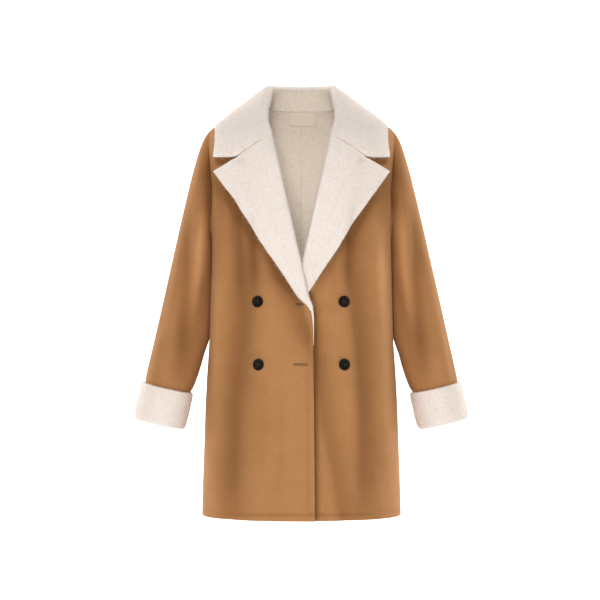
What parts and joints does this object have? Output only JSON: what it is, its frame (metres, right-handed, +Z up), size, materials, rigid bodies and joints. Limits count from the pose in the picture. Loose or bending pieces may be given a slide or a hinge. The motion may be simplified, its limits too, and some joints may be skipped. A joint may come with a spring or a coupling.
{
  "type": "long coat",
  "caption": "Thigh-length double-breasted coat of camel wool look with cream shearling collar, lapels and turned-back cuffs, hollow as if worn.",
  "frame": {"origin": "centre of the neck opening, level with the back neck seam", "axes": "+Z up to the collar, the front with its lapels faces -Y, +X is the wearer's left"},
  "size_m": [0.7032, 0.2791, 0.9081],
  "materials": {
    "front_right": "brushed camel wool-look face bonded to cream pile",
    "front_left": "brushed camel wool-look face bonded to cream pile",
    "back_right": "brushed camel wool-look face bonded to cream pile",
    "back_left": "brushed camel wool-look face bonded to cream pile",
    "sleeve_right": "brushed camel wool-look face bonded to cream pile",
    "sleeve_left": "brushed camel wool-look face bonded to cream pile",
    "cuff_right": "cream shearling-look pile, short and curly",
    "cuff_left": "cream shearling-look pile, short and curly",
    "lapel_right": "cream shearling-look pile, short and curly",
    "lapel_left": "cream shearling-look pile, short and curly",
    "collar": "cream shearling-look pile, short and curly",
    "button_upper_right": "polished dark brown horn-look resin",
    "button_lower_right": "polished dark brown horn-look resin",
    "button_upper_left": "polished dark brown horn-look resin",
    "button_lower_left": "polished dark brown horn-look resin",
    "neck_label": "plain woven satin label"
  },
  "bodies": {
    "root": {"front_right": "front_right", "front_left": "front_left", "back_right": "back_right", "back_left": "back_left", "sleeve_right": "sleeve_right", "sleeve_left": "sleeve_left", "cuff_right": "cuff_right", "cuff_left": "cuff_left", "lapel_right": "lapel_right", "lapel_left": "lapel_left", "collar": "collar", "button_upper_right": "button_upper_right", "button_lower_right": "button_lower_right", "button_upper_left": "button_upper_left", "button_lower_left": "button_lower_left", "neck_label": "neck_label"}
  },
  "joints": []
}
